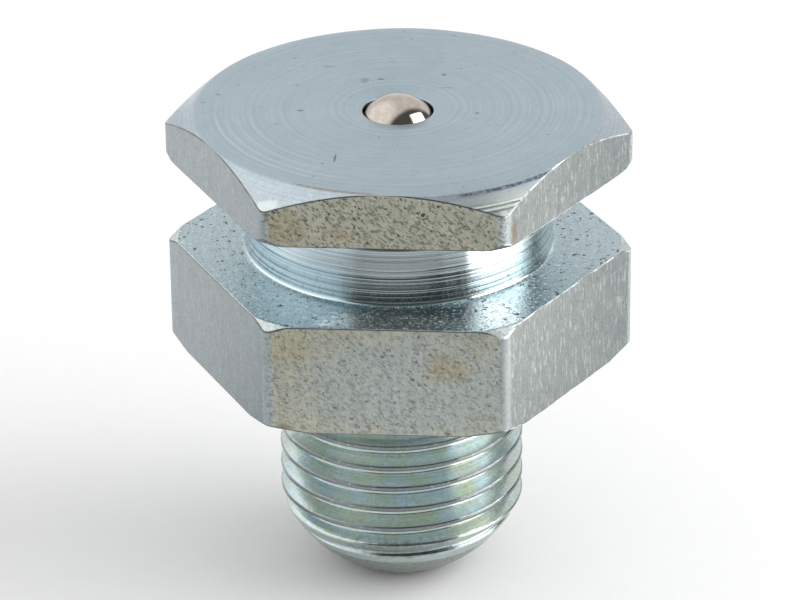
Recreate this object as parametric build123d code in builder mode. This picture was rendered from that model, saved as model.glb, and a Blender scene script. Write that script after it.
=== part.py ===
"""Button-head grease nipple turned from hexagon bar, with its check ball and valve spring.

Millimetres, +Z up. The origin is the centre of the shank's tip, on which the nipple stands,
and two flats of the hexagon face -Y and +Y.
"""
from build123d import *
from math import cos, radians, sin, sqrt, tan
import os

# Bar stock
ACROSS_FLATS = 15.875          # 5/8 inch hexagon bar
BAR_CORNER_RADIUS = 0.4        # drawn bar has rounded edges

# Lengths along the axis, from the tip up
SHANK_LENGTH = 9.5
HEXAGON_LENGTH = 4.55
GROOVE_LENGTH = 3.35
HEAD_THICKNESS = 2.3

# Turned outside of the head, groove and hexagon. Each chamfer is a cone over the bar's
# corners: its inset is measured in from them, and its angle is the slope from the flat face.
FACE_INSET = 1.24              # head's face; its edge just meets the flats
FACE_CHAMFER_ANGLE = 36.0
UNDERSIDE_INSET = 0.32         # head's underside
UNDERSIDE_CHAMFER_ANGLE = 45.0
SHOULDER_INSET = 0.45          # hexagon's top
SHOULDER_CHAMFER_ANGLE = 32.0
SEAT_INSET = 0.72              # hexagon's sealing underside
SEAT_CHAMFER_ANGLE = 22.0
NECK_RADIUS = 6.03
NECK_FILLET = 0.45

# Shank for a parallel pipe thread of 28 turns to the inch
THREAD_MAJOR_RADIUS = 4.864
THREAD_MINOR_RADIUS = 4.283
RELIEF_DEPTH = 0.06            # relief groove below the thread's root, with sloping sides
RELIEF_LENGTH = 1.1
SEAT_CLEARANCE = 0.02          # seat's inner edge outside the thread
NOSE_LENGTH = 3.05
NOSE_BULGE_RADIUS = 6.0
TIP_RADIUS = 1.9

# Check ball and its chamber
BALL_RADIUS = 1.5875           # 1/8 inch ball
BALL_TRAVEL = 1.5
CHAMBER_CLEARANCE = 0.15       # round the ball
SEAT_HALF_ANGLE = 31.5         # staked seat, measured from the axis
SEAT_GAP = 0.03                # ball to seat, along the ball's radius
INLET_LAND = 0.15              # straight part of the inlet above its seat
STAKE_MARGIN = 0.36            # dished ring, where the lip was pressed in, past the chamber
STAKE_DEPTH = 0.12
PASSAGE_RADIUS = 1.0
MOUTH_CHAMFER = 0.15

# Valve spring
WIRE_RADIUS = 0.15
COIL_CLEARANCE = 0.34          # round the spring in the chamber
SPRING_GAP = 0.02              # to the ball, to the floor and between closed turns
WIRE_SIDES = 6                 # flats that stand for the round wire
WORKING_TURNS = 3
END_TURNS = 1                  # closed turns at each end
SPRING_RESERVE = 0.8           # left before the coils close, at the ball's full travel

# Places worked out from the sizes above
SEAT_Z = SHANK_LENGTH
SHOULDER_Z = SEAT_Z + HEXAGON_LENGTH
UNDERSIDE_Z = SHOULDER_Z + GROOVE_LENGTH
FACE_Z = UNDERSIDE_Z + HEAD_THICKNESS
FLAT_RADIUS = ACROSS_FLATS / 2
CORNER_RADIUS = FLAT_RADIUS / cos(radians(30))
FACE_RADIUS = CORNER_RADIUS - FACE_INSET
UNDERSIDE_RADIUS = CORNER_RADIUS - UNDERSIDE_INSET
SHOULDER_RADIUS = CORNER_RADIUS - SHOULDER_INSET
SEAT_RADIUS = CORNER_RADIUS - SEAT_INSET
FACE_FALL = FACE_INSET * tan(radians(FACE_CHAMFER_ANGLE))
UNDERSIDE_RISE = UNDERSIDE_INSET * tan(radians(UNDERSIDE_CHAMFER_ANGLE))
SHOULDER_FALL = SHOULDER_INSET * tan(radians(SHOULDER_CHAMFER_ANGLE))
SEAT_RISE = SEAT_INSET * tan(radians(SEAT_CHAMFER_ANGLE))
RELIEF_RADIUS = THREAD_MINOR_RADIUS - RELIEF_DEPTH
SEAT_EDGE_RADIUS = THREAD_MAJOR_RADIUS + SEAT_CLEARANCE
THREAD_TOP_Z = SEAT_Z - RELIEF_LENGTH
RUN_OUT_Z = THREAD_TOP_Z - (THREAD_MAJOR_RADIUS - RELIEF_RADIUS)

SEAT_SLOPE = radians(SEAT_HALF_ANGLE)
INLET_RADIUS = (BALL_RADIUS + SEAT_GAP) * cos(SEAT_SLOPE)
CHAMBER_RADIUS = BALL_RADIUS + CHAMBER_CLEARANCE
STAKE_RADIUS = CHAMBER_RADIUS + STAKE_MARGIN
LIP_Z = FACE_Z - STAKE_DEPTH
SEAT_TOP_Z = LIP_Z - INLET_LAND
SEAT_FOOT_Z = SEAT_TOP_Z - (CHAMBER_RADIUS - INLET_RADIUS) / tan(SEAT_SLOPE)
BALL_Z = SEAT_TOP_Z - (BALL_RADIUS + SEAT_GAP) * sin(SEAT_SLOPE)

COIL_RADIUS = CHAMBER_RADIUS - COIL_CLEARANCE - WIRE_RADIUS
BALL_TO_WIRE = BALL_RADIUS + WIRE_RADIUS + SPRING_GAP
SPRING_TOP_Z = BALL_Z - sqrt(BALL_TO_WIRE ** 2 - COIL_RADIUS ** 2)
SOLID_RISE = (WORKING_TURNS + 2 * END_TURNS) * 2 * WIRE_RADIUS
SPRING_FOOT_Z = SPRING_TOP_Z - SOLID_RISE - BALL_TRAVEL - SPRING_RESERVE
FLOOR_Z = SPRING_FOOT_Z - WIRE_RADIUS - SPRING_GAP
CLOSED_PITCH = 2 * WIRE_RADIUS + SPRING_GAP
CLOSED_RISE = CLOSED_PITCH * END_TURNS
WORKING_RISE = SPRING_TOP_Z - SPRING_FOOT_Z - 2 * CLOSED_RISE


# Body: a length of bar, turned to the outline of the head, groove and hexagon
with BuildPart() as nipple_body:
    with BuildSketch(Plane.XY.offset(SEAT_Z)) as bar:
        RegularPolygon(radius=FLAT_RADIUS, side_count=6, major_radius=False)
        fillet(bar.vertices(), radius=BAR_CORNER_RADIUS)
    extrude(amount=FACE_Z - SEAT_Z)

    with BuildSketch(Plane.XZ):
        with BuildLine():
            Polyline(
                (0, SEAT_Z),
                (SEAT_RADIUS, SEAT_Z),
                (CORNER_RADIUS, SEAT_Z + SEAT_RISE),
                (CORNER_RADIUS, SHOULDER_Z - SHOULDER_FALL),
                (SHOULDER_RADIUS, SHOULDER_Z),
                (NECK_RADIUS + NECK_FILLET, SHOULDER_Z),
            )
            RadiusArc(
                (NECK_RADIUS + NECK_FILLET, SHOULDER_Z),
                (NECK_RADIUS, SHOULDER_Z + NECK_FILLET),
                NECK_FILLET,
            )
            Line((NECK_RADIUS, SHOULDER_Z + NECK_FILLET), (NECK_RADIUS, UNDERSIDE_Z - NECK_FILLET))
            RadiusArc(
                (NECK_RADIUS, UNDERSIDE_Z - NECK_FILLET),
                (NECK_RADIUS + NECK_FILLET, UNDERSIDE_Z),
                NECK_FILLET,
            )
            Polyline(
                (NECK_RADIUS + NECK_FILLET, UNDERSIDE_Z),
                (UNDERSIDE_RADIUS, UNDERSIDE_Z),
                (CORNER_RADIUS, UNDERSIDE_Z + UNDERSIDE_RISE),
                (CORNER_RADIUS, FACE_Z - FACE_FALL),
                (FACE_RADIUS, FACE_Z),
                (0, FACE_Z),
                (0, SEAT_Z),
            )
        make_face()
    revolve(axis=Axis.Z, mode=Mode.INTERSECT)

    # Shank: relief under the hexagon, thread blank at the major radius, rounded nose
    with BuildSketch(Plane.XZ):
        with BuildLine():
            Polyline(
                (0, 0),
                (0, SEAT_Z),
                (SEAT_EDGE_RADIUS, SEAT_Z),
                (RELIEF_RADIUS, SEAT_Z - (SEAT_EDGE_RADIUS - RELIEF_RADIUS)),
                (RELIEF_RADIUS, THREAD_TOP_Z),
                (THREAD_MAJOR_RADIUS, RUN_OUT_Z),
                (THREAD_MAJOR_RADIUS, NOSE_LENGTH),
            )
            RadiusArc((THREAD_MAJOR_RADIUS, NOSE_LENGTH), (TIP_RADIUS, 0), NOSE_BULGE_RADIUS)
            Line((TIP_RADIUS, 0), (0, 0))
        make_face()
    revolve(axis=Axis.Z)

    # Inlet with its staked lip and seat, ball chamber, and passage out through the tip
    with BuildSketch(Plane.XZ):
        with BuildLine():
            Polyline(
                (0, FACE_Z),
                (STAKE_RADIUS, FACE_Z),
                (INLET_RADIUS, LIP_Z),
                (INLET_RADIUS, SEAT_TOP_Z),
                (CHAMBER_RADIUS, SEAT_FOOT_Z),
                (CHAMBER_RADIUS, FLOOR_Z),
                (PASSAGE_RADIUS, FLOOR_Z),
                (PASSAGE_RADIUS, MOUTH_CHAMFER),
                (PASSAGE_RADIUS + MOUTH_CHAMFER, 0),
                (0, 0),
                (0, FACE_Z),
            )
        make_face()
    revolve(axis=Axis.Z, mode=Mode.SUBTRACT)

# Ball: just clear of its seat
with BuildPart(Plane.XY.offset(BALL_Z)) as check_ball:
    Sphere(radius=BALL_RADIUS)

# Spring: closed turns at both ends and open turns between, one wire all the way
with BuildPart() as valve_spring:
    with BuildLine() as wire_path:
        Helix(pitch=CLOSED_PITCH, height=CLOSED_RISE, radius=COIL_RADIUS, center=(0, 0, SPRING_FOOT_Z))
        Helix(
            pitch=WORKING_RISE / WORKING_TURNS,
            height=WORKING_RISE,
            radius=COIL_RADIUS,
            center=(0, 0, SPRING_FOOT_Z + CLOSED_RISE),
        )
        Helix(
            pitch=CLOSED_PITCH,
            height=CLOSED_RISE,
            radius=COIL_RADIUS,
            center=(0, 0, SPRING_TOP_Z - CLOSED_RISE),
        )
    with BuildSketch(Plane(origin=wire_path.line @ 0, z_dir=wire_path.line % 0)):
        RegularPolygon(radius=WIRE_RADIUS, side_count=WIRE_SIDES)
    sweep(path=wire_path.line, is_frenet=True)

nipple_body.part.label = "nipple_body"
check_ball.part.label = "check_ball"
valve_spring.part.label = "valve_spring"

os.makedirs("parts", exist_ok=True)
export_step(nipple_body.part, "parts/nipple_body.step")
export_step(check_ball.part, "parts/check_ball.step")
export_step(valve_spring.part, "parts/valve_spring.step")
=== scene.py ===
"""Looks of a button-head grease nipple: hexagon-bar body with a cut thread, check ball and spring.

Sizes in the classes are in millimetres and the meshes are built in metres, +Z up, with the
origin at the centre of the shank's tip. Angles of columns are measured from +X towards +Y.
"""
import logging
import math
from dataclasses import dataclass, field
from enum import Enum, IntEnum

import bpy
import numpy as np
from mathutils import Matrix, Vector


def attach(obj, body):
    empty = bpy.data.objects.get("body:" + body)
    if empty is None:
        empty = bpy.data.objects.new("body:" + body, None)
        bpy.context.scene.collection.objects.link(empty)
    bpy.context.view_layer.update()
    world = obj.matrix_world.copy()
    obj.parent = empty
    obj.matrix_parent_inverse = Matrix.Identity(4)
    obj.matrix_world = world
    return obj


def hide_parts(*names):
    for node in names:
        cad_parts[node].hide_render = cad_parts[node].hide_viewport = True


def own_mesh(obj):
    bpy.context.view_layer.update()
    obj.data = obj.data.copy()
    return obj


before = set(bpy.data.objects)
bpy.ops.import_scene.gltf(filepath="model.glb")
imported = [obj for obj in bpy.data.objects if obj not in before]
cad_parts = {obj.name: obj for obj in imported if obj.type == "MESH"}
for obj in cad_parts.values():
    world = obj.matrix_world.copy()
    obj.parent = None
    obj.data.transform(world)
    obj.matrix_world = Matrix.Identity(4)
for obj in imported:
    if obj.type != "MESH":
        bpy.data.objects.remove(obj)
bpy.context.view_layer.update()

MM = 0.001
TAU = 2.0 * math.pi
WELD_STEP_MM = 2e-5
ROUNDING_ROOM = 0.45           # share of its shorter side that a rounding may take up

# Where a look begins or ends, in millimetres
SIDE_BEGINS = (7.80, 7.92)     # from the axis in a side's own direction
CORNER_BEGINS = (8.98, 9.07)   # the bar's rounded corners, from the axis
CREST_BEGINS = (4.79, 4.84)    # the thread's crests, from the axis
NECK_BEGINS = (15.0, 16.0)     # height over which what lies below the neck ends

# Noise between whose values a look comes in or goes out
PATCH_ENDS = (0.38, 0.62)
MOTTLE_ENDS = (0.35, 0.65)
GRAIN_ENDS = (0.3, 0.7)
GROOVE_ENDS = (0.33, 0.43)
FLECK_ENDS = (0.55, 0.67)
SPARKLE_ENDS = (0.55, 0.72)
STROKE_ENDS = (0.4, 0.55)

# Fineness of the noises that the finishes share, per millimetre
PATCHES_PER_MM = 0.28
FLECKS_PER_MM = 8.5
SPARKLES_PER_MM = 7.0
STROKES_PER_MM = 5.0
RAGS_PER_MM = 4.0
WANDER_PER_MM = 2.5

RAG_LENGTH = 1.2               # how far a mark's edge is ragged, in its own half extents
MARK_ENDS = (1.1, 1.8)         # ragged reach between which a mark fades out
WANDER_LENGTH = 1.6            # how far a band's sides wander, in half widths
BAND_ENDS = (0.7, 1.3)         # half widths between which a band fades out
BAND_FULL = 0.75               # share of its half span in which a band is full
DRAWN_LINES = 0.12             # how far drawn marks are shortened along the bar in their noise
DRAWN_FLECKS = 0.2             # the same for its bright flecks
SOFT_LINE = 0.2                # half the noise over which the softest tool mark turns
SHARP_LINE = 0.02              # what is left of that for the sharpest
MOTTLE_MATT = 0.12             # how much the mottle changes the roughness
CORNER_SHARE = 0.7             # share of their own colour that the bar's corners have
CORNER_MATT = 0.28             # how much rougher they are
BUMP_FINENESS = 1.4            # how much finer the grain's bump is than its tint
SLANT = (0.0, math.radians(45.0), 0.0)    # turn of the frame in which spots are drawn
SLANT_STRETCH = (1.5, 1.0, 0.8)           # and its stretch

LOG = logging.getLogger("grease_nipple")


class Zone(IntEnum):
    """Parts of the body's surface that were made by different cuts, in material order."""

    FACE = 0
    CHAMFER = 1
    FLAT = 2
    NECK = 3
    SHOULDER = 4
    SEAT = 5
    THREAD = 6
    NOSE = 7
    BORE = 8
    EDGE = 9
    BEVEL = 10


class Lay(Enum):
    """Direction in which a tool or a die left its marks."""

    RINGS = "rings round the axis, told apart by radius"
    TURNS = "rings round the axis, told apart by height"
    CONE = "rings round the axis, told apart by radius and height together"
    DRAWN = "marks along the bar"
    HELIX = "marks that follow the thread"


# ---------------------------------------------------------------- meshes


def weld(points: np.ndarray, quads: np.ndarray, zones: np.ndarray) -> tuple:
    """Joins equal points and drops what collapses with them.

    Points that round to the same step become one. A quad with one pair of equal
    neighbouring corners becomes a triangle, and one with more is dropped.

    Args:
        points: (n, 3) places in millimetres.
        quads: (m, 4) indices into points, counterclockwise from outside.
        zones: (m,) material index of each quad.

    Returns:
        Places (k, 3), quads (a, 4), triangles (b, 3) and the zones of both in that order.
    """
    keys = np.round(points / WELD_STEP_MM).astype(np.int64)
    _, first, where = np.unique(keys, axis=0, return_index=True, return_inverse=True)
    quads = where.reshape(-1)[quads]
    equal = quads == np.roll(quads, -1, axis=1)
    count = equal.sum(axis=1)
    whole = quads[count == 0]
    three = quads[count == 1][~equal[count == 1]].reshape(-1, 3)
    return points[first], whole, three, np.concatenate([zones[count == 0], zones[count == 1]])


def grid_quads(rows: int, columns: int, offset: int = 0) -> np.ndarray:
    """Quads of a grid whose points are stored row by row.

    Args:
        rows: number of rows of points.
        columns: number of points in a row.
        offset: index of the grid's first point.

    Returns:
        ((rows - 1) * (columns - 1), 4) indices, counterclockwise where a row runs
        counterclockwise round the axis and the next row is above it.
    """
    corner = (np.arange(rows - 1)[:, None] * columns + np.arange(columns - 1)[None, :]).reshape(-1)
    return np.stack([corner, corner + 1, corner + columns + 1, corner + columns], axis=1) + offset


def make_piece(name: str, points: np.ndarray, quads: np.ndarray, zones: np.ndarray,
               materials: list) -> bpy.types.Object:
    """Puts a welded grid into a smooth-shaded mesh object at the origin.

    Args:
        name: name of the piece.
        points: (n, 3) places in millimetres.
        quads: (m, 4) indices into points.
        zones: (m,) material index of each quad.
        materials: the piece's materials in the order of their indices.

    Returns:
        The new object, linked to the scene.
    """
    places, whole, three, kinds = weld(points, quads, zones)
    mesh = bpy.data.meshes.new(name)
    mesh.vertices.add(len(places))
    mesh.vertices.foreach_set("co", (places * MM).astype(np.float32).ravel())
    corners = np.concatenate([whole.ravel(), three.ravel()]).astype(np.int32)
    starts = np.concatenate([np.arange(len(whole)) * 4, len(whole) * 4 + np.arange(len(three)) * 3])
    mesh.loops.add(len(corners))
    mesh.loops.foreach_set("vertex_index", corners)
    mesh.polygons.add(len(starts))
    mesh.polygons.foreach_set("loop_start", starts.astype(np.int32))
    mesh.polygons.foreach_set("material_index", kinds.astype(np.int32))
    mesh.polygons.foreach_set("use_smooth", np.ones(len(starts), bool))
    mesh.update(calc_edges=True)
    mesh.validate()
    for material in materials:
        mesh.materials.append(material)
    piece = bpy.data.objects.new(name, mesh)
    bpy.context.scene.collection.objects.link(piece)
    LOG.info("%s: %d points, %d quads, %d triangles", name, len(places), len(whole), len(three))
    return piece


def eased(count: int) -> np.ndarray:
    """Shares from 0 to 1 that lie closer together near both ends, by half a cosine."""
    return 0.5 - 0.5 * np.cos(np.pi * np.arange(count + 1) / count)


@dataclass(frozen=True)
class Corner:
    """One corner of a turned outline and the stretch that leaves it."""

    radius: float | np.ndarray  # distance from the axis, one number or one for each column
    height: float | np.ndarray  # height above the tip, one number or one for each column
    rounding: float             # length that the rounding takes from each side, if there is room
    zone: Zone                  # surface of the stretch from this corner to the next
    steps: int = 6              # rows on that stretch
    arc_steps: int = 4          # rows in the rounding itself
    worn_and_lit: bool = False          # the rounding is a worn edge with a finish of its own, painted light and shade by side included


def rounded_outline(corners: list, columns: int) -> tuple:
    """Rows of points along a cornered outline with every inner corner rounded.

    A corner's rounding is the parabola whose ends lie on its two sides, as far out as its
    rounding says but no further than 45% of the shorter side, and whose control point is
    the corner. The stretches between are straight, with rows closer near their ends.

    Args:
        corners: the outline's corners in order; the first and last stay sharp.
        columns: number of columns round the axis.

    Returns:
        Radii (rows, columns), heights (rows, columns) and the zone of each gap between rows.
    """
    spots = np.stack([
        np.stack([np.broadcast_to(np.asarray(c.radius, float), (columns,)) for c in corners]),
        np.stack([np.broadcast_to(np.asarray(c.height, float), (columns,)) for c in corners]),
    ], axis=-1)
    sides = np.diff(spots, axis=0)
    lengths = np.linalg.norm(sides, axis=-1, keepdims=True)
    ways = sides / np.maximum(lengths, 1e-9)
    rows, zones = [spots[0]], []
    start = spots[0]
    for index, corner in enumerate(corners[1:], start=1):
        before, spot = corners[index - 1], spots[index]
        last = index == len(corners) - 1
        stop = spot
        if not last:
            room = ROUNDING_ROOM * np.minimum(lengths[index - 1], lengths[index])
            trim = np.minimum(corner.rounding, room)
            stop = spot - ways[index - 1] * trim
        rows.extend(start + (stop - start) * share for share in eased(before.steps)[1:])
        zones.extend([before.zone] * before.steps)
        if not last:
            after = spot + ways[index] * trim
            turn = np.arange(1, corner.arc_steps + 1) / corner.arc_steps
            rows.extend((1 - t) ** 2 * stop + 2 * t * (1 - t) * spot + t * t * after for t in turn)
            half = corner.arc_steps // 2
            met = [before.zone] * half + [corner.zone] * (corner.arc_steps - half)
            zones.extend([Zone.EDGE] * corner.arc_steps if corner.worn_and_lit else met)
            start = after
    table = np.stack(rows)
    return table[..., 0], table[..., 1], zones


# ---------------------------------------------------------------- materials


@dataclass(frozen=True)
class Wire:
    """One output of a node; sums and products with it add Math nodes."""

    graph: "Graph"
    socket: bpy.types.NodeSocket

    def __add__(self, other: "Wire | float") -> "Wire":
        """The sum."""
        return self.graph.math("ADD", self, other)

    def __sub__(self, other: "Wire | float") -> "Wire":
        """The difference."""
        return self.graph.math("SUBTRACT", self, other)

    def __rsub__(self, other: float) -> "Wire":
        """The difference from a plain number."""
        return self.graph.math("SUBTRACT", other, self)

    def __mul__(self, other: "Wire | float") -> "Wire":
        """The product."""
        return self.graph.math("MULTIPLY", self, other)


class Graph:
    """Short typed calls that add shader nodes to one material or world."""

    def __init__(self, owner: bpy.types.ID) -> None:
        """Starts an empty node tree.

        Args:
            owner: the material or world that gets the nodes.
        """
        owner.use_nodes = True
        self.tree = owner.node_tree
        self.tree.nodes.clear()

    def node(self, kind: str, inputs: dict, output: int | str = 0, **settings: object) -> Wire:
        """Adds a node.

        Args:
            kind: type of the node.
            inputs: a wire or a constant for each input, by the input's name or number.
            output: name or number of the output that is wanted.
            settings: the node's plain properties.

        Returns:
            That output.
        """
        node = self.tree.nodes.new(kind)
        for name, value in settings.items():
            setattr(node, name, value)
        for name, value in inputs.items():
            if isinstance(value, Wire):
                self.tree.links.new(value.socket, node.inputs[name])
            else:
                node.inputs[name].default_value = value
        return Wire(self, node.outputs[output])

    def end(self, kind: str, surface: Wire) -> None:
        """Ends the tree in an output node of that kind."""
        self.tree.links.new(surface.socket, self.tree.nodes.new(kind).inputs["Surface"])

    def math(self, operation: str, *values: Wire | float) -> Wire:
        """Result of a Math node."""
        return self.node("ShaderNodeMath", dict(enumerate(values)), operation=operation)

    def vector(self, operation: str, *values: Wire | tuple, output: int = 0) -> Wire:
        """Result of a Vector Math node: output 0 is its vector and 1 its number."""
        inputs = dict(enumerate(values))
        return self.node("ShaderNodeVectorMath", inputs, output, operation=operation)

    def noise(self, place: Wire, scale: float, detail: float = 2.0,
              roughness: float = 0.5) -> Wire:
        """Noise from 0 to 1 at the given places, averaging one half."""
        inputs = {"Vector": place, "Scale": scale, "Detail": detail, "Roughness": roughness}
        return self.node("ShaderNodeTexNoise", inputs, "Fac")

    def line_noise(self, along: Wire, scale: float) -> Wire:
        """Noise from 0 to 1 along one number, so that it draws parallel lines."""
        inputs = {"W": along, "Scale": scale, "Detail": 3.0, "Roughness": 0.6}
        return self.node("ShaderNodeTexNoise", inputs, "Fac", noise_dimensions="1D")

    def ramp(self, source: Wire, low: float, high: float, start: float = 0.0,
             end: float = 1.0) -> Wire:
        """Smooth step from start to end while the source goes from low to high."""
        inputs = dict(enumerate((source, low, high, start, end)))
        return self.node("ShaderNodeMapRange", inputs, interpolation_type="SMOOTHSTEP")

    def mix(self, share: Wire | float, first: Wire | tuple, second: Wire | tuple,
            blend: str = "MIX") -> Wire:
        """Mix of two colours; share 0 gives the first."""
        inputs = {0: share, 6: first, 7: second}
        return self.node("ShaderNodeMix", inputs, 2, data_type="RGBA", blend_type=blend)

    def grey(self, level: Wire) -> Wire:
        """Grey of that level."""
        return self.node("ShaderNodeCombineColor", dict.fromkeys(range(3), level))

    def ray(self, kind: str) -> Wire:
        """1 for rays of that kind and 0 for all others."""
        return self.node("ShaderNodeLightPath", {}, kind)


def colour(display: tuple) -> tuple:
    """Linear colour with full opacity from display values of 0 to 255."""
    shares = [value / 255.0 for value in display]
    return (*(s / 12.92 if s <= 0.04045 else ((s + 0.055) / 1.055) ** 2.4 for s in shares), 1.0)


class Surface(Graph):
    """Nodes of one material, with the point that it colours in millimetres."""

    def __init__(self, owner: bpy.types.Material) -> None:
        """Reads the point's own place, its distance from the axis and its height.

        Args:
            owner: the material.
        """
        super().__init__(owner)
        scale = {0: self.node("ShaderNodeTexCoord", {}, "Object"), "Scale": 1.0 / MM}
        self.point = self.node("ShaderNodeVectorMath", scale, operation="SCALE")
        self.plan = self.stretched(1.0, 0.0)
        self.radius = self.vector("LENGTH", self.plan, output=1)
        self.x, self.y, self.height = (
            self.node("ShaderNodeSeparateXYZ", {0: self.point}, axis) for axis in range(3))

    def stretched(self, across: float, along: float) -> Wire:
        """The point scaled across and along the axis; less of one draws noise out along it."""
        return self.vector("MULTIPLY", self.point, (across, across, along))

    def slanted(self) -> Wire:
        """The point in a turned and stretched frame, where spots come out long and aslant."""
        inputs = {"Vector": self.point, "Rotation": SLANT, "Scale": SLANT_STRETCH}
        return self.node("ShaderNodeMapping", inputs, vector_type="TEXTURE")

    def towards(self, azimuth: float) -> Wire:
        """How far the point lies from the axis in a direction, in degrees from -Y to +X."""
        return self.vector("DOT_PRODUCT", self.point, tuple(direction(azimuth)), output=1)


@dataclass(frozen=True)
class Mark:
    """A local stain, scratch or worn spot, or a painted highlight or painted shade."""

    centre: tuple          # middle of the mark in millimetres
    size: tuple            # half extents of its ellipsoid in millimetres
    tint: tuple            # its colour in display values
    strength: float = 1.0  # share of the colour at its middle
    under: bool = False    # it lies under the specks and pits instead of over them

    def cover(self, at: Surface) -> Wire:
        """Share of the mark: full in its ellipsoid, with an edge that noise makes ragged.

        Args:
            at: the surface and its point.

        Returns:
            The share of the mark's colour there.
        """
        shift = at.vector("SUBTRACT", at.point, self.centre)
        reach = at.vector("LENGTH", at.vector("DIVIDE", shift, self.size), output=1)
        ragged = reach + at.noise(at.point, RAGS_PER_MM, 3.0) * RAG_LENGTH
        return at.ramp(ragged, *MARK_ENDS, self.strength, 0.0)


@dataclass(frozen=True)
class Band:
    """A mark that follows part of a ring round the axis."""

    radius: float          # distance of its middle from the axis in millimetres
    half_width: float      # millimetres on either side
    azimuth: float         # its middle, in degrees from -Y towards +X
    half_span: float       # degrees on either side
    tint: tuple            # its colour in display values
    strength: float = 1.0  # share of the colour at its middle
    chatter: float = 0.0   # how much of it breaks up into short strokes, 0 to 1
    under: bool = False    # it lies under the tool marks instead of over them

    def cover(self, at: Surface) -> Wire:
        """Share of the band: full at its middle, fading at its sides and ends.

        Noise makes its sides wander, and its chatter is noise too.

        Args:
            at: the surface and its point.

        Returns:
            The share of the band's colour there.
        """
        wander = (at.noise(at.point, WANDER_PER_MM, 3.0) - 0.5) * WANDER_LENGTH
        off = at.math("ABSOLUTE", at.radius - self.radius)
        across = at.math("DIVIDE", off, self.half_width) + wander
        way = at.vector("NORMALIZE", at.plan)
        along = at.vector("DOT_PRODUCT", way, tuple(direction(self.azimuth)), output=1)
        end = math.radians(self.half_span)
        share = at.ramp(across, *BAND_ENDS, self.strength, 0.0)
        share = share * at.ramp(along, math.cos(end), math.cos(end * BAND_FULL))
        if self.chatter:
            strokes = at.noise(at.point, STROKES_PER_MM, 2.0, 0.7)
            share = share * at.ramp(strokes, *STROKE_ENDS, 1.0 - self.chatter, 1.0)
        return share


@dataclass(frozen=True)
class SideToneAndLight:
    """Colour of one side of the bar: partly the tone it took on in drawing and plating,
    partly painted light and shade that make the side lighter or darker for how it is lit.
    """

    azimuth: float           # direction that the side faces, in degrees from -Y towards +X
    tint: tuple              # its colour in display values
    share: float             # share of that colour
    specks: float = 1.0      # how many of the specks and pits it has, 0 to 1
    flecks: float = 0.0      # strength of its bright flecks along the bar, 0 to 1
    low_specks: float = 1.0  # share of those specks that the part below the neck has


@dataclass(frozen=True)
class Lines:
    """Marks that a tool or a die left."""

    lay: Lay             # their direction
    per_mm: float        # how close they lie
    bump: float          # their height in millimetres
    tint: float          # how much they darken and lighten the colour
    edge: float = 0.0    # how sharply one ends and the next begins, 0 to 1
    patch: float = 0.0   # how much they come and go over the surface, 0 to 1
    groove_shade: float = 0.0  # painted shade in the deepest of them, 0 to 1

    def noise(self, at: Surface) -> Wire:
        """Noise that draws the marks, evened out where they fade from the surface.

        Args:
            at: the surface and its point.

        Returns:
            The noise there, from 0 in a groove to 1 on a ridge.
        """
        if self.lay is Lay.DRAWN:
            lines = at.noise(at.stretched(1.0, DRAWN_LINES), self.per_mm, 3.0, 0.6)
        else:
            lines = at.line_noise(self.across(at), self.per_mm)
        if not self.patch:
            return lines
        patches = at.noise(at.point, PATCHES_PER_MM)
        kept = at.ramp(patches, *PATCH_ENDS, 1.0 - self.patch, 1.0)
        return (lines - 0.5) * kept + 0.5

    def across(self, at: Surface) -> Wire:
        """Number that changes from one turned mark to the next.

        It is the radius, the height or their difference; for marks that follow the thread
        it is the height less the pitch's share of the turn, less the radius.

        Args:
            at: the surface and its point.

        Returns:
            That number in millimetres.
        """
        if self.lay is Lay.RINGS:
            return at.radius
        if self.lay is Lay.TURNS:
            return at.height
        if self.lay is Lay.CONE:
            return at.radius - at.height
        rise = at.math("ARCTAN2", at.y, at.x) * (Thread.pitch / TAU)
        return at.height - rise - at.radius


@dataclass(frozen=True)
class Mottle:
    """Soft patches of the second colour."""

    per_mm: float       # how fine they are
    bump: float         # their height in millimetres
    share: float = 0.5  # how much of the second colour they bring in


@dataclass(frozen=True)
class Grain:
    """Fine and even unevenness."""

    per_mm: float      # how fine it is
    tint: float        # how much it darkens and lightens the colour
    bump: float = 0.0  # its height in millimetres


@dataclass(frozen=True)
class Spots:
    """Pits or specks, where a noise rises over a level."""

    per_mm: float         # how fine they are
    level: float          # noise level over which one begins
    tint: tuple           # their colour in display values
    depth: float          # how far they lie below the surface, in millimetres
    share: float = 1.0    # share of their colour
    matt: float = 0.0     # how much rougher they are
    specks: bool = False  # they are specks, softer and more broken at their edges than pits

    def cover(self, at: Surface) -> Wire:
        """Share of the spots: nothing at their level, and their full share a little over it.

        Args:
            at: the surface and its point.

        Returns:
            The share of the spots' colour there.
        """
        detail, roughness, blur = (3.0, 0.65, 0.12) if self.specks else (2.0, 0.6, 0.06)
        noise = at.noise(at.slanted(), self.per_mm, detail, roughness)
        return at.ramp(noise, self.level, self.level + blur, 0.0, self.share)


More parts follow.
